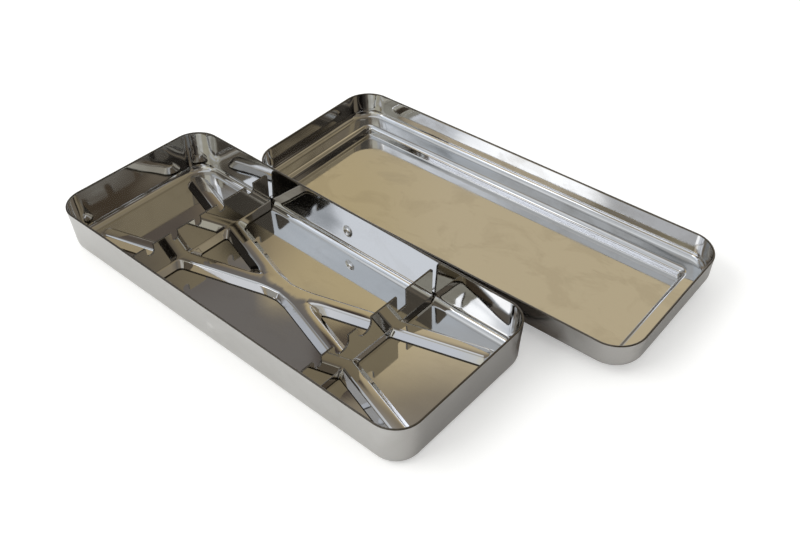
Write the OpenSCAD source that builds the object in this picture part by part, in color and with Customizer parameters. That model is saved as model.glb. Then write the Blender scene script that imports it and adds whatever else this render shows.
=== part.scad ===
// Dental instrument cassette: a polished steel tray with a loose stamped rack, and its lid
// lying upside down behind the tray.
// Origin: middle of the tray's underside on the table. +X along the tray's length, +Y towards
// the lid, +Z up. All sizes in millimetres.

/* [Tray] */
// length over the rim
tray_l = 180; // [176:1:200]
// width over the rim
tray_w = 72.5; // [71:0.5:76]
// height of the rim over the table
tray_h = 19.6; // [18:0.1:26]
// radius of the four upright corners at the rim
tray_r = 11; // [9.5:0.5:12.5]
// outside radius of the bend between floor and wall
tray_bend = 4.2; // [3:0.1:5]
// lean of the walls, degrees
tray_draft = 3.4; // [1:0.1:4]
// thickness of the sheet
sheet = 0.8; // [0.6:0.1:0.9]
// height of the middle of the snap dimples
dimple_z = 9.8; // [9:0.1:11]

/* [Lid] */
// how much longer and wider the lid's rim is than the tray's
lid_over = 2.0; // [1.8:0.1:2.4]
// height of the upturned lid's rim over the table
lid_h = 16.2; // [14:0.1:22]
// step between the lid's raised panel and its border
lid_step = 4.2; // [3.6:0.1:5.5]
// from the rim's outside to the end of the flat border
lid_border = 8.3; // [7.8:0.1:8.6]
// outside radius of the bend between border and wall
lid_bend = 4; // [3:0.1:4.4]
// lean of the lid's walls, degrees
lid_draft = 2.6; // [1:0.1:4]
// middle of the lid on the table
lid_x = 31.65; // [0:0.05:60]
lid_y = 76.8; // [76.8:0.1:110]
// its turn on the table, degrees
lid_turn = 2.1; // [0:0.1:2.1]

/* [Rack] */
// thickness of the rack's sheet
rack_sheet = 0.7; // [0.5:0.05:0.9]
// height of the rack's arms over the tray's floor
rack_rise = 2.8; // [2.6:0.1:3.4]
// width of the flat top of an arm
arm_top = 4.6; // [4:0.1:5.2]
// how far the sloping flanges reach out
flange = 2.7; // [2.2:0.1:2.9]
// angle of the arms to the tray's length, degrees
arm_angle = 16.7; // [15.5:0.1:17]
// end of the arms' flat tops from the middle, along the arm
arm_reach = 82.2; // [74:0.1:82.3]
// distance of each comb from the middle
comb_x = 44.6; // [40:0.1:50]
// height of the combs over the arms
comb_h = 13.1; // [10:0.1:13.5]
// length of the combs across the tray
comb_l = 67.6; // [64:0.1:67.8]
// thickness of the combs
comb_t = 0.8; // [0.6:0.1:1]
// radius of the combs' upper corners
comb_round = 1.2; // [0.5:0.1:2]

/* [Hidden] */
$fn = 96;
// resting gap under the loose rack
hair = 0.04;
rack_z0 = sheet + hair;
arm_z = rack_z0 + rack_rise;
// corners of straight outlines lie this far inside the bends they run into
tuck = 0.003;
// round ends stand this far proud of the straight sides they run into
lap = 0.01;

// The tray, seen from the side outwards from the axis of a corner: everything over the sheet's
// lower face (t = 0) or over its upper face (t = sheet), up to height top.
module tray_inside(t, top) {
    r = tray_bend - t;
    s = sin(tray_draft);
    c = cos(tray_draft);
    u = tray_r - (tray_bend + (tray_h - tray_bend) * s) / c;
    o = [u + (r - tuck) * c, tray_bend - (r - tuck) * s];
    translate([u, tray_bend]) circle(r);
    polygon([[0, t], [u, t], o, [o[0] + (top - o[1]) * s / c, top], [0, top]]);
}

module tray_section() {
    difference() {
        tray_inside(0, tray_h);
        tray_inside(sheet, tray_h + 1);
    }
}

lid_l = tray_l + lid_over;
lid_w = tray_w + lid_over;
lid_r = 12.5;
// inside radii of the two bends of the step, and the lean of the step between them
foot_bend = 0.6;
brow_bend = 1.7;
step_lean = 76;

// The lid the same way, lying upside down: raised panel, step up to the border, bend, wall.
module lid_inside(t, top) {
    s = sin(lid_draft);
    c = cos(lid_draft);
    a = sin(step_lean);
    b = cos(step_lean);
    // outer bend between border and wall
    r3 = lid_bend - t;
    u3 = lid_r - (lid_bend + (lid_h - lid_step - lid_bend) * s) / c;
    v3 = lid_step + lid_bend;
    o = [u3 + (r3 - tuck) * c, v3 - (r3 - tuck) * s];
    // the step's upper bend, with its middle under the border
    r2 = brow_bend + t;
    u2 = lid_r - lid_border;
    v2 = lid_step - brow_bend;
    // the step's lower bend
    r1 = foot_bend + sheet - t;
    v1 = foot_bend + sheet;
    rise = v2 - v1 + (brow_bend + foot_bend + sheet) * b;
    u1 = u2 - (brow_bend + foot_bend + sheet) * a - rise * b / a;
    difference() {
        union() {
            // the part of this bend beyond the corner's axis isn't there
            intersection() {
                translate([u1, v1]) circle(r1);
                translate([0, -1]) square([20, 20]);
            }
            translate([u3, v3]) circle(r3);
            polygon([[0, t], [u1, t], [u1 + (r1 - tuck) * a, v1 - (r1 - tuck) * b],
                [u2 - (r2 - tuck) * a, v2 + (r2 - tuck) * b], [u2, lid_step + t],
                [u3, lid_step + t], o, [o[0] + (top - o[1]) * s / c, top], [0, top]]);
        }
        translate([u2, v2]) circle(r2);
    }
}

module lid_section() {
    difference() {
        lid_inside(0, lid_h);
        lid_inside(sheet, lid_h + 1);
    }
}

// A drawn pan l by w over the rim, with corners of radius r: child 0 is its side view from the
// axis of a corner outwards.
module drawn(l, w, r, t) {
    x = l / 2 - r;
    y = w / 2 - r;
    translate([-x, -y, 0]) cube([2 * x, 2 * y, t]);
    for (a = [0, 180]) rotate([0, 0, a]) {
        translate([x, y, 0]) rotate_extrude(angle = 90) children(0);
        translate([x, y, 0]) rotate([90, 0, 0]) linear_extrude(2 * y) children(0);
        translate([-x, y, 0]) rotate([0, 0, 90]) rotate_extrude(angle = 90) children(0);
        translate([-x, y, 0]) rotate([0, 0, 90]) rotate([90, 0, 0])
            linear_extrude(2 * x) children(0);
    }
}

// The snap dimple in the middle of each long wall is pressed outwards as a shallow cap.
dimple_r = 3.6;
dimple_y = tray_w / 2 - (tray_h - dimple_z) * tan(tray_draft) + 0.55 - dimple_r;

module tray() {
    color("silver") difference() {
        union() {
            drawn(tray_l, tray_w, tray_r, sheet) tray_section();
            for (s = [-1, 1]) intersection() {
                translate([0, s * dimple_y, dimple_z]) sphere(dimple_r);
                translate([-5, s * (dimple_y + 4.6) - 2, dimple_z - 5]) cube([10, 4, 10]);
            }
        }
        for (s = [-1, 1]) translate([0, s * dimple_y, dimple_z]) sphere(dimple_r - 0.75);
    }
}

module lid() {
    color("silver") translate([lid_x, lid_y, 0]) rotate([0, 0, lid_turn])
        drawn(lid_l, lid_w, lid_r, sheet) lid_section();
}

// Folded bar along +X, length l: its level top lies between y0 and y1 at height z1, and its
// flanges come down f0 and f1 further out at height z0. With k the same for the sheet's inside.
module bar(l, y0, y1, f0, f1, k) {
    h = rack_rise;
    g0 = k * (sqrt(h * h + f0 * f0) - f0) / h;
    g1 = k * (sqrt(h * h + f1 * f1) - f1) / h;
    rotate([90, 0, 90]) linear_extrude(l)
        polygon([[y0 + g0 - f0, rack_z0 - k], [y1 - g1 + f1, rack_z0 - k],
            [y1 - g1, arm_z - k], [y0 + g0, arm_z - k]]);
}

// One arm, from the middle of the rack to its round sloping end near the tray's corner.
module arm(k) {
    h = arm_top / 2;
    g = k * (sqrt(rack_rise * rack_rise + flange * flange) - flange) / rack_rise;
    translate([1.7, 0, 0]) rotate([0, 0, arm_angle]) {
        translate([-1.2, 0, 0]) bar(1.2 + arm_reach - h, -h, h, flange, flange, k);
        translate([arm_reach - h, 0, rack_z0 - k])
            cylinder(h = rack_rise, r1 = h + flange - g + lap, r2 = h - g + lap);
    }
}

// Strip under a comb, right across the rack; its ends follow the bend in the tray.
module cross_strip(x0, x1, f0, f1, k) {
    y = comb_l / 2;
    intersection() {
        translate([0, -50, 0]) rotate([0, 0, 90]) bar(100, -x1, -x0, f1, f0, k);
        rotate([90, 0, 90]) translate([0, 0, -100]) linear_extrude(200)
            polygon([[-y + 3.4, 0], [y - 3.4, 0], [y + k * 4, arm_z], [-y - k * 4, arm_z]]);
    }
}

// What the sheet is folded over, or with k the hollow under it.
module frame_form(k) {
    for (a = [0, 180]) rotate([0, 0, a]) {
        arm(k);
        mirror([0, 1, 0]) arm(k);
    }
    // the web at the crossing lies a hair lower, so that its corners end inside the arms
    translate([0, -3, -0.01]) rotate([0, 0, 90]) bar(6, -14.4, 14.4, flange, flange, k);
    cross_strip(-comb_x - 1.8, -comb_x + 0.5, flange, flange, k);
    cross_strip(comb_x - 1.8, comb_x + 0.5, flange, 0.6, k);
}

module rack_frame() {
    color("gainsboro") difference() {
        frame_form(0);
        frame_form(rack_sheet);
    }
}

// Notch of width w and depth d at y, with a round bottom.
module notch(y, w, d) {
    translate([y - w / 2, comb_h - d + w / 2]) square([w, d]);
    translate([y, comb_h - d + w / 2]) circle(w / 2);
}

// A comb's plate with its two upper corners rounded; the children are its notches.
module comb_plate(x) {
    y = comb_l / 2 - comb_round;
    translate([x - comb_t / 2, 0, arm_z]) rotate([90, 0, 90]) linear_extrude(comb_t)
        difference() {
            union() {
                polygon([[-comb_l / 2, 0], [comb_l / 2, 0], [comb_l / 2, comb_h - comb_round],
                    [y, comb_h], [-y, comb_h], [-comb_l / 2, comb_h - comb_round]]);
                for (s = [-1, 1]) translate([s * (y - tuck), comb_h - comb_round - tuck])
                    circle(comb_round);
            }
            children();
        }
}

module rack_comb_left() {
    color("silver") comb_plate(-comb_x) {
        notch(-26.3, 3.5, 4.2);
        notch(-14.5, 3.1, 4);
        notch(-3.1, 3.1, 4);
        notch(8.9, 3.2, 4.2);
        notch(24.2, 3.6, 4.4);
    }
}

module rack_comb_right() {
    color("silver") comb_plate(comb_x) {
        notch(-26.2, 3.5, 4);
        notch(-14.7, 7, 5.7);
        notch(-3.3, 7.2, 5.8);
        translate([13.8, comb_h - 8]) square([5.2, 10]);
    }
}

tray();
rack_frame();
rack_comb_left();
rack_comb_right();
lid();
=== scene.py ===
import math

import bpy
import numpy as np
from mathutils import Matrix, Vector, geometry, noise


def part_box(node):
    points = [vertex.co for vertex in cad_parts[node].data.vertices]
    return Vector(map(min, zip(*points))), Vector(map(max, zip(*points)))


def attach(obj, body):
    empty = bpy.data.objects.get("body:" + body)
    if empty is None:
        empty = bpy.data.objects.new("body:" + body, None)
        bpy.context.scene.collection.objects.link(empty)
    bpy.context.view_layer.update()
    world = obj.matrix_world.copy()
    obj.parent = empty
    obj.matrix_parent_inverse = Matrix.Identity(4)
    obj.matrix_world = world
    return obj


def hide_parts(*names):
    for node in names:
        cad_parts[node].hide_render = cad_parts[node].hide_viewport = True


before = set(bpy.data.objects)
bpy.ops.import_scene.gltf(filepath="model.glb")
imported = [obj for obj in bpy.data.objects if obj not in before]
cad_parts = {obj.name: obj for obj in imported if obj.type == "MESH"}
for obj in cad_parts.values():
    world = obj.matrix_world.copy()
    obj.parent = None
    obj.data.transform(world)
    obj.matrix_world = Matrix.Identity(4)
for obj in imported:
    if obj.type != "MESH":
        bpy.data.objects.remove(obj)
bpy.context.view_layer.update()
MM = 0.001


# Tray, the lower half of the cassette: one blank of 0.8 mm austenitic stainless sheet, deep drawn
# to a pan with rounded corners and leaning walls, trimmed at the rim and buffed until it mirrors.
# The dimples in the long walls are pressed outwards and hold the closed lid.

SHEET = 0.8
tray_lo, tray_hi = [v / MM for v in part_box("tray")]
TRAY_HALF_L = tray_hi.x
TRAY_HALF_W = tray_hi.y
TRAY_H = tray_hi.z
TRAY_CORNER = 11.0
TRAY_BEND = 4.2
TRAY_LEAN = math.radians(3.4)
# radius of the rim's two broken edges
RIM_ROUND = 0.28
# the dimples' height over the table, radius and depth
DIMPLE_Z = 9.8
DIMPLE_R = 2.4
DIMPLE_DEPTH = 0.7
# divisions round a pan: fine stretch in mid wall, rest of a long wall, short wall, corner
FINE_STEPS, LONG_STEPS, SHORT_STEPS, CORNER_STEPS = 37, 19, 15, 23
# unevenness of the walls: length of its waves, their height, and what puckers add to it
LONG_WAVE = (17, 0.07, 0.10)
SHORT_WAVE = (6.5, 0.012, 0.06)
# how far a corner's puckers reach along the long and the short wall
PUCKER_L, PUCKER_W = 26, 22
# up to the first height the walls are true, and over the second they go fully out of true
TRUE_BELOW, LOST_OVER = 2.5, 7


def arc(centre, radius, first, last, steps):
    """Points of an arc in the section plane; angles in degrees from straight outwards."""
    return [(centre[0] + radius * math.cos(math.radians(a)),
             centre[1] + radius * math.sin(math.radians(a)))
            for a in np.linspace(first, last, steps + 1)]


def line(start, end, steps):
    """Points between two section points, the ends left out."""
    return [tuple(np.array(start) + (np.array(end) - np.array(start)) * k / steps)
            for k in range(1, steps)]


def pan_path(half_l, half_w, corner, dense):
    """Stations round a rounded rectangle: corner axis or its straight continuation, and the
    direction outwards. dense is the half width of the finely divided stretch in mid wall."""
    ax, ay = half_l - corner, half_w - corner
    rest = np.linspace(dense, ax, LONG_STEPS)[1:-1]
    run = np.concatenate([-rest[::-1], np.linspace(-dense, dense, FINE_STEPS), rest])
    side = np.linspace(-ay, ay, SHORT_STEPS)[1:-1]
    turn = np.radians(np.linspace(0, 90, CORNER_STEPS))
    path = []
    for y in side:
        path.append((ax, y, 1, 0))
    for a in turn:
        path.append((ax, ay, math.cos(a), math.sin(a)))
    for x in run[::-1]:
        path.append((x, ay, 0, 1))
    for a in turn:
        path.append((-ax, ay, -math.sin(a), math.cos(a)))
    for y in side[::-1]:
        path.append((-ax, y, -1, 0))
    for a in turn:
        path.append((-ax, -ay, -math.cos(a), -math.sin(a)))
    for x in run:
        path.append((x, -ay, 0, -1))
    for a in turn:
        path.append((ax, -ay, math.sin(a), -math.cos(a)))
    return np.array(path)


def uneven(x, y, z, seed):
    """How far the press and the buffing wheel leave a wall out of true, in millimetres: long
    waves everywhere, and puckers where the sheet was gathered into a corner."""
    at = Vector((x, y, z * 1.6))
    shift = Vector((seed * 7.3, seed * 3.1, seed * 5.7))
    gathered = (max(0, abs(x) - TRAY_HALF_L + PUCKER_L) / PUCKER_L
                * max(0, abs(y) - TRAY_HALF_W + PUCKER_W) / PUCKER_W)
    share = min(1, max(0, (z - TRUE_BELOW) / LOST_OVER))
    return share * sum((height + pucker * gathered) * noise.noise(at / length + shift)
                       for length, height, pucker in (LONG_WAVE, SHORT_WAVE))


def swept_pan(name, path, section, floor_z, under_z, seed):
    """Closed mesh of a pan: the section's points swept round the path, with the flat floor and
    the flat underside closed by rings that shrink to the middle."""
    rings = []
    for rho, z in section:
        p = path[:, :2] + path[:, 2:] * rho
        p += path[:, 2:] * np.array([[uneven(x, y, z, seed)] for x, y in p])
        rings.append(np.column_stack([p, np.full(len(p), z)]))
    # the flats' rings, as shares of the ring at their edge
    shares = [0.995, 0.96, 0.85, 0.6, 0.3, 0.02]

    def flat(edge, z):
        return [np.column_stack([edge[:, :2] * s, np.full(len(path), z)]) for s in shares]

    rings = flat(rings[0], floor_z)[::-1] + rings + flat(rings[-1], under_z)
    n = len(path)
    faces = [list(range(n))]
    for k in range(len(rings) - 1):
        for i in range(n):
            j = (i + 1) % n
            faces.append([k * n + i, (k + 1) * n + i, (k + 1) * n + j, k * n + j])
    faces.append([(len(rings) - 1) * n + i for i in range(n - 1, -1, -1)])
    mesh = bpy.data.meshes.new(name)
    mesh.from_pydata(np.concatenate(rings).tolist(), [], faces)
    return mesh


def rim_section(inner, outer, z):
    """The trimmed rim between the inner and the outer wall line, its two edges broken."""
    r = RIM_ROUND
    return arc((inner + r, z - r), r, 180, 90, 4) + arc((outer - r, z - r), r, 90, 0, 4)


def tray_section():
    s, c = math.sin(TRAY_LEAN), math.cos(TRAY_LEAN)
    lean = math.degrees(TRAY_LEAN)
    u = TRAY_CORNER - (TRAY_BEND + (TRAY_H - TRAY_BEND) * s) / c
    inside = arc((u, TRAY_BEND), TRAY_BEND - SHEET, -90, -lean, 16)
    outside = arc((u, TRAY_BEND), TRAY_BEND, -lean, -90, 16)
    rim = rim_section(TRAY_CORNER - SHEET / c, TRAY_CORNER, TRAY_H)
    # the wall is divided finely enough for its dimples
    rows = 52
    return inside + line(inside[-1], rim[0], rows) + rim + line(rim[-1], outside[0], rows) + outside


def press_dimples(mesh):
    """Presses the two shallow round dimples outwards, through both faces of the sheet."""
    for v in mesh.vertices:
        x, y, z = v.co
        r = math.hypot(x, z - DIMPLE_Z)
        if abs(y) > TRAY_HALF_W - 3 and r < DIMPLE_R:
            v.co.y += math.copysign(DIMPLE_DEPTH * (1 - (r / DIMPLE_R) ** 2) ** 0.7, y)


def linear(hexcode):
    """Linear colour from an sRGB hex value."""
    c = [int(hexcode[i:i + 2], 16) / 255 for i in (1, 3, 5)]
    return [v / 12.92 if v <= 0.04045 else ((v + 0.055) / 1.055) ** 2.4 for v in c] + [1]


def add(tree, kind, links=None, **settings):
    """Adds one node. Settings that name an input set its value, others set the node's own
    property; links maps an input to the socket that feeds it."""
    n = tree.nodes.new(kind)
    for key, value in settings.items():
        name = key.replace("_", " ")
        hit = next((i for i in n.inputs if i.name.lower() == name.lower()), None)
        if hasattr(n, key):
            setattr(n, key, value)
        elif hit is not None:
            hit.default_value = value
        else:
            raise KeyError(key)
    for key, socket in (links or {}).items():
        tree.links.new(socket, n.inputs[key])
    return n


def emptied(block):
    """The node tree of a new material or world, without nodes."""
    block.use_nodes = True
    block.node_tree.nodes.clear()
    return block.node_tree


def per(*lengths):
    """Texture scale at which a pattern is as long as each of these, in millimetres."""
    scales = tuple(1 / (v * MM) for v in lengths)
    return scales if len(scales) > 1 else scales[0]


def buffed_stainless(name, colour, veil, waves, stain):
    """Stainless sheet drawn and buffed with polishing compound: a near mirror. veil is how much
    wiping marks dull it, waves how uneven it is, stain how strong dried-on cloudy marks are."""
    m = bpy.data.materials.new(name)
    t = emptied(m)
    place = add(t, "ShaderNodeTexCoord").outputs["Object"]
    # wiping marks: patches about 12 mm across, drawn out to 30 mm along the length
    wiped = add(t, "ShaderNodeMapping", {"Vector": place}, Scale=per(30, 12, 12))
    patches = add(t, "ShaderNodeTexNoise", {"Vector": wiped.outputs[0]},
                  Scale=1.0, Detail=4.0, Roughness=0.55)
    rough = add(t, "ShaderNodeMapRange", {"Value": patches.outputs["Fac"]},
                From_Min=0.42, From_Max=0.75, To_Min=0.035, To_Max=0.035 + veil)
    # hairs from the buffing wheel, some 20 mm long; they are a few hundredths apart and drawn
    # 0.24 mm apart, to show at all
    combed = add(t, "ShaderNodeMapping", {"Vector": place}, Scale=per(20, 0.24, 0.24))
    hairs = add(t, "ShaderNodeTexNoise", {"Vector": combed.outputs[0]}, Scale=1.0, Detail=2.0)
    # dried-on marks: clouds some 16 to 22 mm across with ragged edges, browner and duller
    dried = add(t, "ShaderNodeMapping", {"Vector": place}, Scale=per(22, 16, 16))
    clouds = add(t, "ShaderNodeTexNoise", {"Vector": dried.outputs[0]},
                 Scale=1.0, Detail=7.0, Roughness=0.62, Distortion=0.7)
    marks = add(t, "ShaderNodeMapRange", {"Value": clouds.outputs["Fac"]},
                From_Min=0.50, From_Max=0.60, To_Max=stain)
    tint = add(t, "ShaderNodeMix", {"Factor": marks.outputs[0]}, data_type="RGBA")
    tint.inputs["A"].default_value = linear(colour)
    tint.inputs["B"].default_value = linear("#8F8675")
    # a quarter of a mark's strength goes into the roughness
    duller = add(t, "ShaderNodeMath", {0: marks.outputs[0], 2: rough.outputs[0]},
                 operation="MULTIPLY_ADD")
    duller.inputs[1].default_value = 0.25
    # unevenness: swells 20 mm long and a few hundredths deep
    wavy = add(t, "ShaderNodeTexNoise", {"Vector": place}, Scale=per(20), Detail=1.5)
    swell = add(t, "ShaderNodeBump", {"Height": wavy.outputs["Fac"]},
                Strength=1.0, Distance=waves * MM)
    grain = add(t, "ShaderNodeBump", {"Height": hairs.outputs["Fac"], "Normal": swell.outputs[0]},
                Strength=0.15, Distance=0.01 * MM)
    steel = add(t, "ShaderNodeBsdfPrincipled",
                {"Base Color": tint.outputs["Result"], "Roughness": duller.outputs[0],
                 "Normal": grain.outputs[0]}, Metallic=1.0)
    add(t, "ShaderNodeOutputMaterial", {"Surface": steel.outputs[0]})
    return m


def sheared_and_shaded_stainless(name):
    """Edges as the press tool cut them: no buffing wheel reaches them, so they are dull and
    streaked;
    their dark tone is partly painted shade, for the shade that lies in these narrow faces."""
    m = bpy.data.materials.new(name)
    t = emptied(m)
    place = add(t, "ShaderNodeTexCoord").outputs["Object"]
    # streaks of the cut, drawn 0.5 mm apart, several times as coarse as they are
    streaks = add(t, "ShaderNodeTexNoise", {"Vector": place}, Scale=per(0.5), Detail=2.0)
    # dark tones: partly the dull cut, partly painted shade
    tone = add(t, "ShaderNodeMix", {"Factor": streaks.outputs["Fac"]}, data_type="RGBA")
    tone.inputs["A"].default_value = linear("#4A4640")
    tone.inputs["B"].default_value = linear("#7C766D")
    rough = add(t, "ShaderNodeMapRange", {"Value": streaks.outputs["Fac"]},
                To_Min=0.22, To_Max=0.42)
    steel = add(t, "ShaderNodeBsdfPrincipled",
                {"Base Color": tone.outputs["Result"], "Roughness": rough.outputs[0]},
                Metallic=1.0)
    add(t, "ShaderNodeOutputMaterial", {"Surface": steel.outputs[0]})
    return m


def cut_faces(mesh, is_cut):
    """Marks the faces of a piece that are sheared edges, its second material."""
    for f in mesh.polygons:
        f.material_index = 1 if is_cut(f) else 0


def finished(name, mesh, material, body, slot, *nodes):
    """Turns a mesh in millimetres into a smooth piece that stands for CAD nodes."""
    mesh.transform(Matrix.Scale(MM, 4))
    mesh.materials.append(material)
    mesh.materials.append(sheared_edge_and_shade)
    mesh.validate()
    mesh.shade_smooth()
    piece = bpy.data.objects.new(name, mesh)
    bpy.context.scene.collection.objects.link(piece)
    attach(piece, body)
    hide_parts(*nodes)
    return piece


tray_mesh = swept_pan("tray_shell", pan_path(TRAY_HALF_L, TRAY_HALF_W, TRAY_CORNER, 3.0),
                      tray_section(), SHEET, 0, 1)
press_dimples(tray_mesh)
cut_faces(tray_mesh, lambda f: f.center.z > TRAY_H - RIM_ROUND)
sheared_edge_and_shade = sheared_and_shaded_stainless("stainless_sheared_edge_and_shade")
tray_steel = buffed_stainless("stainless_drawn_buffed", "#D6D5D3", 0.06, 0.03, 0.06)
finished("tray_shell", tray_mesh, tray_steel, "tray", "tray_steel", "tray")


# Rack frame, the loose rack's base: 0.7 mm stainless sheet, blanked and folded in one stroke of
# the press to an X with flat-topped arms and sloping flanges all round, and a cross strip under
# each comb. It only lies in the tray.

RACK_SHEET = 0.7
rack_lo, rack_hi = [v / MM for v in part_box("rack_frame")]
RACK_FOOT, ARM_Z = rack_lo.z, rack_hi.z
RACK_HALF_W = rack_hi.y
# the arms: angle to the tray's length, where they start and end along it, half width of their
# flat tops, and how far the sloping flanges reach out
ARM_LEAN = math.radians(16.7)
ARM_START = 1.7
ARM_REACH = 82.2
ARM_HALF = 2.25
FLANGE = 2.75
# the arms' tops mirror as if the press had left them this much higher in the middle
CROWN = 0.05
# outer radius of the folds between tops and flanges
FOLD = 1.5
# flat tops of the cross strips, left and right, and how far the right one's outer flange runs
STRIPS = ((-46.4, -44.1), (42.8, 45.1))
STEEP_FLANGE = 0.6
# how strongly the press rounds the corner between two arms, at their tops and at the foot, and
# the corners at the strips
CORNER_TOP, CORNER_FOOT = 5.5, 2.2
CORNER_STRIP = 2.2
# the arms' middle lines meet in a bend this wide
CROSSING = 1.0
# the strips' ends follow the bend in the tray, which reaches this far in
END_BEND = 3.4


def blended(a, b, width):
    """The lower of two heights or distances, with the corner between them rounded off."""
    h = np.maximum(width - np.abs(a - b), 0) / width
    return np.minimum(a, b) - h * h * width / 4


def beyond_top(x, y):
    """Distance from the outline of the flat tops in millimetres, below 0 on them."""
    x, y = np.asarray(x, float), np.asarray(y, float)
    ax = np.sqrt(x * x + CROSSING)

    def arm(side):
        along = (ax - ARM_START) * math.cos(ARM_LEAN) + side * y * math.sin(ARM_LEAN)
        across = side * y * math.cos(ARM_LEAN) - (ax - ARM_START) * math.sin(ARM_LEAN)
        past = along - np.clip(along, 0, ARM_REACH - ARM_HALF)
        return np.hypot(past, across) - ARM_HALF

    d1, d2 = arm(1), arm(-1)
    low = np.clip(np.minimum(d1, d2) / FLANGE, 0, 1)
    d = blended(d1, d2, CORNER_TOP + (CORNER_FOOT - CORNER_TOP) * low)
    for k, (x0, x1) in enumerate(STRIPS):
        outer = (x - x1) * (FLANGE / STEEP_FLANGE if k else 1)
        d = blended(d, np.maximum(x0 - x, outer), CORNER_STRIP)
    return d


RISE = ARM_Z - RACK_FOOT
SLOPE = RISE / FLANGE
FOLD_ANGLE = math.atan(SLOPE)


def fallen(d, radius):
    """How far the sheet has come down at distance d from the top's edge, with a fold of that
    radius, and its slope there."""
    start = -radius * math.tan(FOLD_ANGLE / 2)
    inside = np.clip(d - start, 0, radius * math.sin(FOLD_ANGLE))
    round_ = radius - np.sqrt(radius ** 2 - inside ** 2)
    past = d > start + radius * math.sin(FOLD_ANGLE)
    steep = inside / np.sqrt(radius ** 2 - inside ** 2)
    off = np.clip(d + ARM_HALF, 0, ARM_HALF) / ARM_HALF
    steep = np.maximum(steep, 2 * CROWN * off / ARM_HALF)
    return np.where(past, SLOPE * d, round_), np.where(past, SLOPE, steep)


INNER_SHIFT = RACK_SHEET * (math.hypot(RISE, FLANGE) - FLANGE) / RISE


def upper_face(x, y):
    return ARM_Z - fallen(beyond_top(x, y), FOLD)[0]


# the flanges are cut square to their sheet: the cut starts at the foot on the inside and ends
# where the outside is that much higher
INNER_FOOT = (RISE - RACK_SHEET) / SLOPE - INNER_SHIFT
CUT_RISE = RACK_SHEET * math.cos(FOLD_ANGLE)
OUTER_FOOT = FLANGE - CUT_RISE / SLOPE
CUT_SLOPE = CUT_RISE / (OUTER_FOOT - INNER_FOOT)


def lower_face(x, y):
    d = beyond_top(x, y)
    z = ARM_Z - RACK_SHEET - fallen(d + INNER_SHIFT, FOLD - RACK_SHEET)[0]
    cut = RACK_FOOT + (d - INNER_FOOT) * CUT_SLOPE
    return np.where(d > INNER_FOOT, cut, np.maximum(z, RACK_FOOT))


def outside_blank(x, y):
    """Above 0 where there is no sheet: past the flanges' feet, and past the strips' ends, which
    follow the bend in the tray."""
    d = beyond_top(x, y)
    height = ARM_Z - fallen(d, FOLD)[0]
    end = np.abs(y) - (RACK_HALF_W - END_BEND + END_BEND * height / ARM_Z)
    return np.maximum(d - OUTER_FOOT, end)


def gradient(field, x, y, e):
    return ((field(x + e, y) - field(x - e, y)) / (2 * e),
            (field(x, y + e) - field(x, y - e)) / (2 * e))


def drawn_lines(field, level, xs, ys):
    """Polylines on which field(x, y) is level, found on a grid, then moved to the exact place."""
    f = field(*np.meshgrid(xs, ys, indexing="ij")) - level
    below = f < 0
    corners_in = below[:-1, :-1].astype(int) + below[1:, :-1] + below[1:, 1:] + below[:-1, 1:]
    where, link = {}, {}
    for i, j in zip(*np.nonzero((corners_in > 0) & (corners_in < 4))):
        ring = [(i, j), (i + 1, j), (i + 1, j + 1), (i, j + 1)]
        cuts = []
        for c in range(4):
            a, b = sorted((ring[c], ring[(c + 1) % 4]))
            if below[a] != below[b]:
                w = f[a] / (f[a] - f[b])
                where[a, b] = (xs[a[0]] + (xs[b[0]] - xs[a[0]]) * w,
                               ys[a[1]] + (ys[b[1]] - ys[a[1]]) * w)
                cuts.append((a, b))
        for a, b in zip(cuts[::2], cuts[1::2]):
            link.setdefault(a, []).append(b)
            link.setdefault(b, []).append(a)
    lines, left = [], dict(link)
    for start in sorted(link, key=lambda k: (len(link[k]), k)):
        if start not in left:
            continue
        chain, at = [start], start
        del left[start]
        while True:
            ahead = [n for n in link[at] if n in left]
            if not ahead:
                break
            at = ahead[0]
            del left[at]
            chain.append(at)
        closed = start in link[at] and len(chain) > 2
        p = np.array([where[k] for k in chain + ([start] if closed else [])])
        # three steps down the slope, none of them long
        for _ in range(3):
            x, y = p.T
            gx, gy = gradient(field, x, y, 1e-4)
            g = np.maximum(gx * gx + gy * gy, 0.2)
            move = np.clip((field(x, y) - level) / g, -0.3, 0.3)
            p = p - np.column_stack([gx, gy]) * move[:, None]
        lines.append(p)
    return lines


def thinned(p, tolerance, longest):
    """Fewer points on a polyline, none further than tolerance from it nor longest apart."""
    keep = {0, len(p) - 1}
    stack = [(0, len(p) - 1)]
    while stack:
        a, b = stack.pop()
        if b - a < 2:
            continue
        chord = p[b] - p[a]
        size = math.hypot(*chord)
        off = p[a + 1:b] - p[a]
        if size > 1e-6:
            far = np.abs(off[:, 0] * chord[1] - off[:, 1] * chord[0]) / size
        else:
            far = np.hypot(*off.T)
        m = a + 1 + int(np.argmax(far))
        if far.max() > tolerance or size > longest:
            if far.max() <= tolerance:
                m = (a + b) // 2
            keep.add(m)
            stack += [(a, m), (m, b)]
    return p[sorted(keep)]


def rack_levels():
    """Where the section bends: start and end of the outer and the inner fold, and the foot."""
    outer = -FOLD * math.tan(FOLD_ANGLE / 2)
    inner = -INNER_SHIFT - (FOLD - RACK_SHEET) * math.tan(FOLD_ANGLE / 2)
    inner_end = inner + (FOLD - RACK_SHEET) * math.sin(FOLD_ANGLE)
    outer_end = outer + FOLD * math.sin(FOLD_ANGLE)
    return [outer, (outer + inner_end) / 2, inner_end, (inner_end + outer_end) / 2, outer_end,
            INNER_FOOT]


def unit(v):
    return v / np.linalg.norm(v, axis=1)[:, None]


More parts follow.
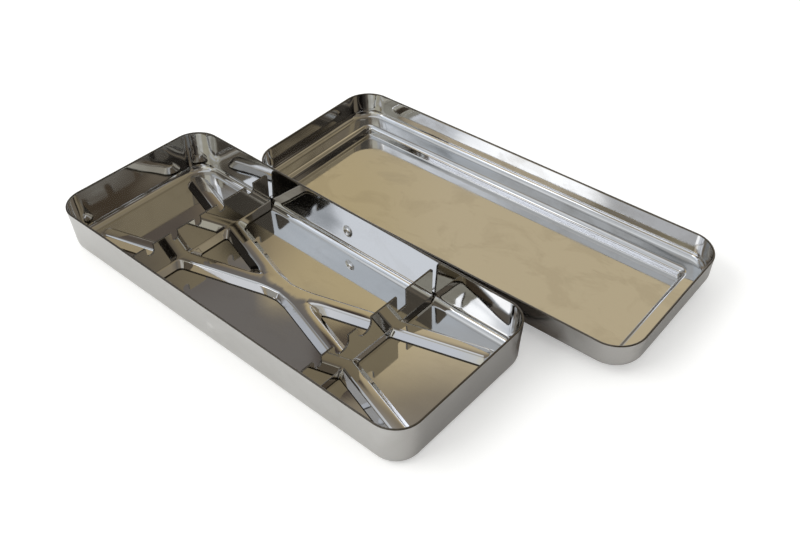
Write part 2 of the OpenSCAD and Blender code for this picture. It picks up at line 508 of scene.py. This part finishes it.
def rack_mesh():
    """The folded sheet: a net of triangles between the lines where its section bends, lifted to
    its upper and its lower face, and closed where the sheet is cut."""
    # a grid of half millimetres over the whole blank, and how far a line may run past its edge
    xs = np.arange(-86, 86.1, 0.5)
    ys = np.arange(-35, 35.1, 0.5)
    overrun = 0.2
    lines = drawn_lines(outside_blank, 0, xs, ys)
    for level in rack_levels():
        for p in drawn_lines(beyond_top, level, xs, ys):
            inside = outside_blank(*p.T) < overrun
            # stretches off the blank are dropped
            for part in np.split(np.arange(len(p)), np.nonzero(np.diff(inside.astype(int)))[0] + 1):
                if inside[part[0]] and len(part) > 1:
                    lines.append(p[part])
    points, edges = [], []
    for p in lines:
        p = thinned(p, tolerance=0.006, longest=2.5)
        closed = np.hypot(*(p[0] - p[-1])) < 1e-3
        n = len(p) - 1 if closed else len(p)
        first = len(points)
        points += [Vector(q) for q in p[:n]]
        edges += [(first + k, first + (k + 1) % n) for k in range(n if closed else n - 1)]
    flat, _, tris, _, _, _ = geometry.delaunay_2d_cdt(points, edges, [], 0, 1e-5, False)
    xy = np.array([tuple(v) for v in flat])
    tris = np.array([f for f in tris if len(f) == 3])
    middle = xy[tris].mean(1)
    tris = tris[outside_blank(*middle.T) < 0]
    used = sorted(set(tris.ravel()))
    number = {v: k for k, v in enumerate(used)}
    tris = np.vectorize(number.get)(tris)
    x, y = xy[used].T
    top, below = upper_face(x, y), lower_face(x, y)
    count = len(used)
    verts = [tuple(v) for v in np.column_stack([x, y, np.maximum(top, RACK_FOOT)])]
    under = []
    for k in range(count):
        # the two faces meet along the cut
        if top[k] - below[k] < 2e-3:
            under.append(k)
        else:
            under.append(len(verts))
            verts.append((x[k], y[k], below[k]))
    ring = np.column_stack([x, y])[tris]
    left, ahead = ring[:, 1] - ring[:, 0], ring[:, 2] - ring[:, 0]
    turned = left[:, 0] * ahead[:, 1] < left[:, 1] * ahead[:, 0]
    tris[turned] = tris[turned][:, ::-1]
    faces, sides = [], {}
    for t in tris.tolist():
        faces.append(t)
        for a, b in zip(t, t[1:] + t[:1]):
            sides[a, b] = 1
    n_top = len(faces)
    for t in faces[:n_top]:
        f = [under[v] for v in t[::-1]]
        if len(set(f)) == 3 and set(f) != set(t):
            faces.append(f)
    n_under = len(faces)
    for a, b in sides:
        if (b, a) not in sides:
            f = [b, a]
            for v in (under[a], under[b]):
                if v not in f:
                    f.append(v)
            if len(f) > 2:
                faces.append(f)
    mesh = bpy.data.meshes.new("rack_frame_sheet")
    mesh.from_pydata(verts, [], faces)
    # true normals of the folded sheet, so that its flats mirror as flats
    gx, gy = gradient(beyond_top, x, y, 1e-3)
    d = beyond_top(x, y)
    up_slope = fallen(d, FOLD)[1]
    low_slope = fallen(d + INNER_SHIFT, FOLD - RACK_SHEET)[1]
    up_n = unit(np.column_stack([gx * up_slope, gy * up_slope, np.ones(count)]))
    low_n = -unit(np.column_stack([gx * low_slope, gy * low_slope, np.ones(count)]))
    cut_n = unit(np.column_stack([gx * CUT_SLOPE, gy * CUT_SLOPE, -np.ones(count)]))
    back_to = {u: k for k, u in enumerate(under)}
    mesh.shade_smooth()
    normals = []
    for i, f in enumerate(mesh.polygons):
        cut = False
        if n_top <= i < n_under:
            cut = np.mean([d[back_to[v]] for v in f.vertices]) > INNER_FOOT
        f.material_index = 1 if cut or i >= n_under else 0
        for v in f.vertices:
            if i < n_top:
                normals.append(up_n[v])
            elif i < n_under:
                normals.append(cut_n[back_to[v]] if cut else low_n[back_to[v]])
            else:
                normals.append(np.array(f.normal))
    mesh.normals_split_custom_set([tuple(n) for n in normals])
    return mesh


rack_steel = buffed_stainless("stainless_stamped_buffed", "#D4D2CF", 0.04, 0.02, 0.03)
finished("rack_frame_sheet", rack_mesh(), rack_steel, "rack", "rack_steel", "rack_frame")


# Combs, two upright plates of 0.8 mm stainless sheet across the rack, punched with notches that
# hold the instruments apart: narrow ones on the left, two wide ones and a square slot on the
# right. They are fixed to the cross strips.

# how far a punched edge is rounded over
EDGE = 0.09
# radii of the plates' upper corners, of the notches' mouths and of the square slot's corners
COMB_CORNER, MOUTH, SLOT_CORNER = 1.2, 0.35, 0.5
# the plate's foot goes this far into the strip's flat top and is this much shorter at each end
SUNK, SHORTER = 0.3, 0.4


def rounded(points, radii):
    """A closed outline whose corners are rounded, each by its own radius."""
    out = []
    n = len(points)
    for k in range(n):
        p, q, r = (Vector(points[(k + i) % n]) for i in (-1, 0, 1))
        a, b = (p - q), (r - q)
        reach = min(radii[k], a.length * 0.49, b.length * 0.49)
        if reach < 0.01:
            out.append(tuple(q))
            continue
        a, b = q + a.normalized() * reach, q + b.normalized() * reach
        for u in np.linspace(0, 1, 6):
            out.append(tuple(a * (1 - u) ** 2 + q * 2 * u * (1 - u) + b * u * u))
    return out


def notch(y, width, depth, round_bottom):
    """Corners of one notch from its front edge to its back edge, with their radii."""
    low = -depth
    r = width / 2
    corners = [((y - r, 0), MOUTH)]
    if round_bottom:
        corners += [((y - r * math.cos(a), low + r - r * math.sin(a)), 0)
                    for a in np.linspace(0, math.pi, 13)]
    else:
        corners += [((y - r, low), SLOT_CORNER), ((y + r, low), SLOT_CORNER)]
    return corners + [((y + r, 0), MOUTH)]


def comb_plate(name, notches):
    """The plate's outline with its punched edges rounded over, filled in front and behind."""
    lo, hi = [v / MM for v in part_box(name)]
    foot = lo.z - hi.z - SUNK
    corners = [((lo.y, 0), COMB_CORNER)]
    for n in notches:
        corners += notch(*n)
    corners += [((hi.y, 0), COMB_CORNER), ((hi.y - SHORTER, foot), 0),
                ((lo.y + SHORTER, foot), 0)]
    outline = rounded([c for c, _ in corners], [r for _, r in corners])
    outline = [p for k, p in enumerate(outline)
               if (Vector(p) - Vector(outline[k - 1])).length > 1e-4]
    p = np.array(outline)[::-1]
    ahead, behind = np.roll(p, -1, 0) - p, p - np.roll(p, 1, 0)
    ahead /= np.hypot(*ahead.T)[:, None]
    behind /= np.hypot(*behind.T)[:, None]
    tangent = ahead + behind
    tangent /= np.hypot(*tangent.T)[:, None]
    inward = np.column_stack([-tangent[:, 1], tangent[:, 0]])
    inward /= np.maximum(0.5, np.sum(tangent * ahead, axis=1))[:, None]
    n = len(p)
    rings = []
    for x, turns in ((lo.x, (0, 45, 90)), (hi.x, (90, 45, 0))):
        for a in turns:
            a = math.radians(a)
            q = p + inward * EDGE * (1 - math.sin(a))
            side = EDGE * (1 - math.cos(a))
            rings.append([((x + side) if x == lo.x else (x - side), y, hi.z + z) for y, z in q])
    faces = [list(range(n))[::-1]]
    for k in range(len(rings) - 1):
        for i in range(n):
            j = (i + 1) % n
            faces.append([k * n + i, k * n + j, (k + 1) * n + j, (k + 1) * n + i])
    faces.append([(len(rings) - 1) * n + i for i in range(n)])
    mesh = bpy.data.meshes.new(name + "_plate")
    mesh.from_pydata([v for r in rings for v in r], [], faces)
    return mesh


comb_steel = buffed_stainless("stainless_punched_buffed", "#D2D0CB", 0.04, 0.02, 0.03)
# each notch: its middle, width and depth, and whether its bottom is round
COMBS = {
    "rack_comb_left": [(-26.3, 3.5, 4.2, True), (-14.5, 3.1, 4.0, True), (-3.1, 3.1, 4.0, True),
                       (8.9, 3.2, 4.2, True), (24.2, 3.6, 4.4, True)],
    "rack_comb_right": [(-26.2, 3.5, 4.0, True), (-14.7, 7.0, 5.7, True), (-3.3, 7.2, 5.8, True),
                        (16.4, 5.2, 8.0, False)],
}
for comb, notches in COMBS.items():
    plate_mesh = comb_plate(comb, notches)
    cut_faces(plate_mesh, lambda f: abs(f.normal.x) < 0.5)
    finished(comb + "_plate", plate_mesh, comb_steel, "rack", "comb_steel", comb)
    # the two broad faces are flat
    for f in sorted(plate_mesh.polygons, key=lambda f: -f.area)[:2]:
        f.use_smooth = False


# Lid, the upper half, lying upside down on the table: drawn from the same sheet to a shallower
# pan, with a panel raised by one more stroke, so that from inside it shows a step all round.

LID_CORNER = 12.5
LID_H = 16.2
LID_STEP = 4.2
LID_BORDER = 8.3
LID_BEND = 4.0
LID_LEAN = math.radians(2.6)
# inner radii of the step's lower and upper bend, and the lean of the step between them
LID_FOOT = 0.6
LID_BROW = 1.7
STEP_LEAN = math.radians(76)
# springback leaves the border sloping to the panel
BORDER_TILT = math.radians(3.8)
# the lid slips over the tray's rim
LID_HALF_L = TRAY_HALF_L + 1.0
LID_HALF_W = TRAY_HALF_W + 1.0
LID_AT = Vector((31.65, 76.8, 0))
LID_TURN = math.radians(2.1)


def lid_section():
    s, c = math.sin(LID_LEAN), math.cos(LID_LEAN)
    a, b = math.sin(STEP_LEAN), math.cos(STEP_LEAN)
    lean = math.degrees(LID_LEAN)
    tip = 90 - math.degrees(STEP_LEAN)
    tilt = math.degrees(BORDER_TILT)
    wall_u = LID_CORNER - (LID_BEND + (LID_H - LID_STEP - LID_BEND) * s) / c
    wall_v = LID_STEP + LID_BEND
    brow_u = LID_CORNER - LID_BORDER
    sunk = LID_BEND + LID_BROW + (wall_u - brow_u) * math.sin(BORDER_TILT)
    brow_v = wall_v - sunk / math.cos(BORDER_TILT)
    foot_v = LID_FOOT + SHEET
    reach = LID_BROW + LID_FOOT + SHEET
    foot_u = brow_u - reach * a - (brow_v - foot_v + reach * b) * b / a
    rim = rim_section(LID_CORNER - SHEET / c, LID_CORNER, LID_H)

    def face(t):
        foot = arc((foot_u, foot_v), LID_FOOT + SHEET - t, -90, -tip, 8)
        brow = arc((brow_u, brow_v), LID_BROW + t, 180 - tip, 90 + tilt, 12)
        wall = arc((wall_u, wall_v), LID_BEND - t, -90 + tilt, -lean, 16)
        return foot + line(foot[-1], brow[0], 5) + brow + line(brow[-1], wall[0], 6) + wall

    inside, outside = face(SHEET), face(0)[::-1]
    rows = 20
    return inside + line(inside[-1], rim[0], rows) + rim + line(rim[-1], outside[0], rows) + outside


lid_mesh = swept_pan("lid_shell", pan_path(LID_HALF_L, LID_HALF_W, LID_CORNER, 4.5),
                     lid_section(), SHEET, 0, 2)
cut_faces(lid_mesh, lambda f: f.center.z > LID_H - RIM_ROUND)
lid_mesh.transform(Matrix.Translation(LID_AT) @ Matrix.Rotation(LID_TURN, 4, "Z"))
lid_steel = buffed_stainless("stainless_drawn_buffed_handled", "#D6D5D3", 0.06, 0.03, 0.13)
finished("lid_shell", lid_mesh, lid_steel, "lid", "lid_steel", "lid")


# Camera: where it stood and how it was aimed, worked out from the straight edges of the pans.
# Lens and axis are in pixels of the 800 by 533 picture, and the shift only frames that picture.
AZIMUTH, ELEVATION, ROLL = (math.radians(a) for a in (39.53, 41.95, 0.73))
AIM = Vector((33.66, 47.15, 0)) * MM
DISTANCE = 389.6 * MM
FOCAL_PX, AXIS_PX = 988.9, (432.4, 270.7)
PICTURE = (800, 533)

back = Vector((math.sin(AZIMUTH) * math.cos(ELEVATION), -math.cos(AZIMUTH) * math.cos(ELEVATION),
               math.sin(ELEVATION)))
level = Vector((math.cos(AZIMUTH), math.sin(AZIMUTH), 0))
upright = back.cross(level)
right = level * math.cos(ROLL) + upright * math.sin(ROLL)
up = upright * math.cos(ROLL) - level * math.sin(ROLL)
camera = bpy.data.objects.new("camera", bpy.data.cameras.new("camera"))
bpy.context.scene.collection.objects.link(camera)
turned = Matrix((right, up, back)).transposed().to_4x4()
camera.matrix_world = Matrix.Translation(AIM + back * DISTANCE) @ turned
SENSOR = 36
camera.data.sensor_width = SENSOR
camera.data.lens = FOCAL_PX * SENSOR / PICTURE[0]
camera.data.shift_x = -(AXIS_PX[0] - PICTURE[0] / 2) / PICTURE[0]
camera.data.shift_y = (AXIS_PX[1] - PICTURE[1] / 2) / PICTURE[0]
camera.data.clip_start = 0.01
bpy.context.scene.camera = camera


# Studio: white table and white surround, and above them a large painted tent that only mirrors
# see. One soft light stands on the left, as high as a window.
def facing(azimuth, elevation, distance):
    a, e = math.radians(azimuth), math.radians(elevation)
    return Vector((math.cos(a) * math.cos(e), math.sin(a) * math.cos(e), math.sin(e))) * distance


def stage_mesh(name, verts, faces, material):
    mesh = bpy.data.meshes.new(name)
    mesh.from_pydata(verts, [], faces)
    mesh.materials.append(material)
    o = bpy.data.objects.new(name, mesh)
    bpy.context.scene.collection.objects.link(o)
    return o


# white paper: diffuse, and lit up for the camera alone until it is as white as the surround
table_paper = bpy.data.materials.new("white_paper_table")
t = emptied(table_paper)
paper = add(t, "ShaderNodeBsdfDiffuse", Color=linear("#E8E8E6"))
shine = add(t, "ShaderNodeEmission", Color=(1, 1, 1, 1), Strength=0.32)
ray = add(t, "ShaderNodeLightPath")
shine_on = add(t, "ShaderNodeMixShader", {0: ray.outputs["Is Camera Ray"], 2: shine.outputs[0]})
both = add(t, "ShaderNodeAddShader", {0: paper.outputs[0], 1: shine_on.outputs[0]})
add(t, "ShaderNodeOutputMaterial", {"Surface": both.outputs[0]})
TABLE = 3.0
table_corners = [(x * TABLE, y * TABLE, 0) for x, y in ((-1, -1), (1, -1), (1, 1), (-1, 1))]
stage_mesh("table_top", table_corners, [(0, 1, 2, 3)], table_paper)

# white to the eye and in mirrors, a little less as light on the object
world = bpy.data.worlds.new("white_surround")
bpy.context.scene.world = world
t = emptied(world)
ray = add(t, "ShaderNodeLightPath")
seen = add(t, "ShaderNodeMath", {0: ray.outputs["Is Camera Ray"], 1: ray.outputs["Is Glossy Ray"]},
           operation="MAXIMUM")
seen = add(t, "ShaderNodeMath", {0: seen.outputs[0], 1: ray.outputs["Is Transmission Ray"]},
           operation="MAXIMUM")
soft = add(t, "ShaderNodeBackground", Color=(1, 1, 1, 1), Strength=0.78)
white = add(t, "ShaderNodeBackground", Color=(1, 1, 1, 1), Strength=1.0)
mix = add(t, "ShaderNodeMixShader", {0: seen.outputs[0], 1: soft.outputs[0], 2: white.outputs[0]})
add(t, "ShaderNodeOutputWorld", {"Surface": mix.outputs[0]})

# What the polished steel mirrors: a dome 2 m in radius, painted with soft-edged panels that only
# mirrors see. Each panel: colour, brightness, middle azimuth and elevation, half sizes, softness.
ROOM = [
    ("#8A8174", 1.0, (0, 45), (180, 90), 1),
    # pale ceiling over the left and over the back left
    ("#DDE2E8", 1.0, (-160, 66), (52, 17), 8),
    ("#F2F6FC", 1.0, (160, 72), (34, 14), 8),
    ("#C0BFBA", 1.0, (-88, 62), (24, 16), 6),
    # tall bright panels to the left, with grey bars between them and a dark edge
    ("#E3EDFA", 1.0, (-141, 48), (20, 7), 3),
    ("#DCE2EA", 1.0, (-118, 50), (14, 7), 2),
    ("#EAF1FD", 1.5, (-132, 36), (13, 8), 3),
    ("#F4F8FF", 2.4, (-117, 35), (6, 6), 1),
    ("#E8ECF4", 1.05, (-104, 36), (7, 6), 2),
    ("#E6D9C0", 1.0, (-118, 19), (8, 9), 1),
    ("#A0967E", 1.0, (-105, 21), (5.5, 7), 1),
    ("#DEDCD5", 1.0, (-106, 9), (6, 10), 3),
    ("#4A3D2C", 1.0, (-131, 10), (5.5, 12), 2),
    ("#B4B6B5", 1.0, (-145, 20), (8, 8), 4),
    ("#A4AAB0", 1.0, (-168, 26), (12, 12), 5),
    ("#566066", 1.0, (-135.5, 36), (0.6, 12), 0.8),
    ("#53585C", 1.0, (-132, 55.3), (30, 0.8), 0.7),
    ("#6E6558", 1.0, (-132, 27.6), (14, 0.8), 0.7),
    # cream panels beside them
    ("#E4E4DA", 1.0, (-78, 39), (18, 9), 4),
    ("#DDE4F0", 1.0, (-93, 38), (6, 5), 2),
    ("#D6D4C3", 1.0, (-86, 22), (14, 8), 4),
    ("#F2F5F4", 1.0, (-64, 19), (9, 12), 4),
    ("#D6D7D0", 1.0, (-53, 30), (6, 10), 4),
    # dark side in front, darkest low down, with a pale strip over it
    ("#6E6A64", 1.0, (-8, 40), (36, 20), 6),
    ("#3A3734", 1.0, (-14, 22), (22, 18), 6),
    ("#161413", 1.0, (-14, 16), (8, 16), 3),
    ("#1D1A17", 1.0, (20, 12), (7, 5), 2),
    ("#C8C7C2", 1.0, (-12, 53), (15, 2), 1.5),
    ("#0D0C0B", 1.0, (-45, 33), (3, 3), 1),
    # brown side to the right, with black patches and two pale ones low down
    ("#857C6D", 1.0, (12, 34), (12, 14), 5),
    ("#91866F", 1.0, (70, 58), (40, 12), 5),
    ("#A39880", 1.0, (45, 41), (14, 8), 4),
    ("#A0957F", 1.0, (50, 29), (14, 6), 4),
    ("#5A4F42", 1.0, (26, 27), (4, 7), 2),
    ("#3A352E", 1.0, (43, 16), (4, 14), 2),
    ("#1A1715", 1.0, (61, 29), (4, 4), 2),
    ("#E9F4FF", 1.2, (59, 15), (8, 7), 3),
    ("#EDF3FF", 1.1, (33, 20), (4, 4), 1.5),
    ("#1A1614", 1.0, (38, 39.5), (1.8, 2), 0.8),
    ("#57503F", 1.0, (80, 47), (22, 2), 2),
    # beige side behind, over a second bright panel
    ("#C6C6C3", 1.0, (112, 28), (22, 6), 4),
    ("#D2C3A3", 1.0, (118, 41), (26, 8), 2.5),
    ("#C9B891", 1.0, (137, 40), (7, 9), 5),
    ("#E6EEFF", 2.6, (113, 10), (18, 13), 2),
    # its left end, striped dark and grey
    ("#9A8B70", 1.0, (146, 37), (6, 4), 3),
    ("#AEB4BB", 1.0, (164, 52), (16, 4), 3),
    ("#8C8F93", 1.0, (166, 45), (14, 4), 3),
    ("#7A7673", 1.0, (151.5, 45), (8.5, 5.5), 1),
    ("#7A7673", 1.0, (141.5, 47), (3.5, 3.5), 0.8),
    ("#453C3A", 1.0, (136.3, 47.8), (2.4, 2.7), 0.6),
    ("#5F5750", 1.0, (156, 37), (10, 3.5), 3),
    ("#BEBEBC", 1.0, (156, 31), (9, 3), 2),
    ("#7F776E", 1.0, (156, 26), (8, 2.5), 2),
    ("#D8E0EE", 1.2, (149, 18), (9, 6), 3),
]


def eased(k):
    """From 0 to 1 with a soft start and a soft end."""
    k = np.clip(k, 0, 1)
    return k * k * (3 - 2 * k)


def painted(azimuth, elevation):
    """The tent's paint in these directions, panel over panel."""
    colour = np.zeros((len(azimuth), 4))
    for paint, power, middle, half, soft in ROOM:
        share = eased(0.5 - (abs((azimuth - middle[0] + 180) % 360 - 180) - half[0]) / soft / 2)
        share = (share * eased(0.5 - (abs(elevation - middle[1]) - half[1]) / soft / 2))[:, None]
        colour = colour * (1 - share) + np.array(linear(paint)) * power * share
    return colour


def for_mirrors_only(o):
    o.visible_camera = o.visible_diffuse = o.visible_shadow = o.visible_transmission = False


tent_paint = bpy.data.materials.new("painted_tent")
t = emptied(tent_paint)
coat = add(t, "ShaderNodeAttribute", attribute_name="coat")
glow = add(t, "ShaderNodeEmission", {"Color": coat.outputs["Color"]}, Strength=1.0)
add(t, "ShaderNodeOutputMaterial", {"Surface": glow.outputs[0]})
TENT = 2.0
N_AZ, N_EL = 360, 90
dome_at = [(i, j) for j in range(N_EL) for i in range(N_AZ)]
dome_v = [facing(i, j, TENT) for i, j in dome_at]
dome_c = painted(*np.array(dome_at, float).T).ravel()
dome_f = []
for j in range(N_EL - 1):
    low, high = j * N_AZ, (j + 1) * N_AZ
    dome_f += [(low + i, low + (i + 1) % N_AZ, high + (i + 1) % N_AZ, high + i)
               for i in range(N_AZ)]
dome_f.append([(N_EL - 1) * N_AZ + i for i in range(N_AZ)])
tent = stage_mesh("reflector_tent", dome_v, dome_f, tent_paint)
tent.data.attributes.new("coat", "FLOAT_COLOR", "POINT").data.foreach_set("color", dome_c)
for_mirrors_only(tent)

# A sheet of painted shade just over the table, seen only by mirrors: thin round the pans, denser
# to their right, where the room's shadows fall, and densest between them.
film_paint = bpy.data.materials.new("painted_shade_film")
t = emptied(film_paint)
cover = add(t, "ShaderNodeAttribute", attribute_name="cover")
clear = add(t, "ShaderNodeBsdfTransparent")
# its dark brown is painted shade, not a colour of the table
shade_paint = add(t, "ShaderNodeBsdfDiffuse", Color=linear("#6B6056"))
film_mix = add(t, "ShaderNodeMixShader",
               {0: cover.outputs["Fac"], 1: clear.outputs[0], 2: shade_paint.outputs[0]})
add(t, "ShaderNodeOutputMaterial", {"Surface": film_mix.outputs[0]})

# the film's middle, its half sizes before it fades, its grid and its height over the table
FILM_X, FILM_Y = 20, 30
FILM_HALF_L, FILM_HALF_W = 110, 95
FILM_STEP, FILM_N = 6, 61
FILM_Z = 0.12
# the gap between the pans: its middle line at x = 0 and that line's slope, and its two ends
GAP_Y, GAP_SLOPE = 38, 0.037
GAP_FROM, GAP_TO = -64, 100


def film_cover(x, y):
    """How dense the painted shade is at a point of the table: over directions from -55 to 75
    degrees it is dense, and elsewhere thin."""
    side = math.degrees(math.atan2(y - FILM_Y, x - FILM_X))
    dense = 0.04 + 0.34 * eased((side + 55) / 20) * (1 - eased((side - 75) / 45))
    away = max(abs(x - FILM_X) - FILM_HALF_L, abs(y - FILM_Y) - FILM_HALF_W, 0)
    dense *= 1 - eased((away - 10) / 50)
    # hardly any light gets between the two pans
    between = eased(1.6 - abs(y - GAP_Y - x * GAP_SLOPE) / 10)
    between *= eased((x - GAP_FROM) / 10) * eased((GAP_TO - x) / 10)
    return max(dense, 0.9 * between)


film_at = [((i - FILM_N // 2) * FILM_STEP + FILM_X, (j - FILM_N // 2) * FILM_STEP + FILM_Y)
           for j in range(FILM_N) for i in range(FILM_N)]
film_f = [(k, k + 1, k + FILM_N + 1, k + FILM_N)
          for k in range((FILM_N - 1) * FILM_N) if k % FILM_N < FILM_N - 1]
film = stage_mesh("shade_film", [(x * MM, y * MM, FILM_Z * MM) for x, y in film_at], film_f,
                  film_paint)
film.data.attributes.new("cover", "FLOAT", "POINT").data.foreach_set(
    "value", [film_cover(x, y) for x, y in film_at])
for_mirrors_only(film)

# the soft light from the left
key = bpy.data.lights.new("window_light", "AREA")
key.shape = "RECTANGLE"
key.size, key.size_y = 1.9, 1.5
key.energy = 30
key_o = bpy.data.objects.new("window_light", key)
bpy.context.scene.collection.objects.link(key_o)
key_o.location = facing(-128, 42, 2.6)
key_o.rotation_euler = (-key_o.location).to_track_quat("-Z", "Y").to_euler()
key_o.visible_glossy = False

bpy.context.scene.view_settings.view_transform = "Standard"
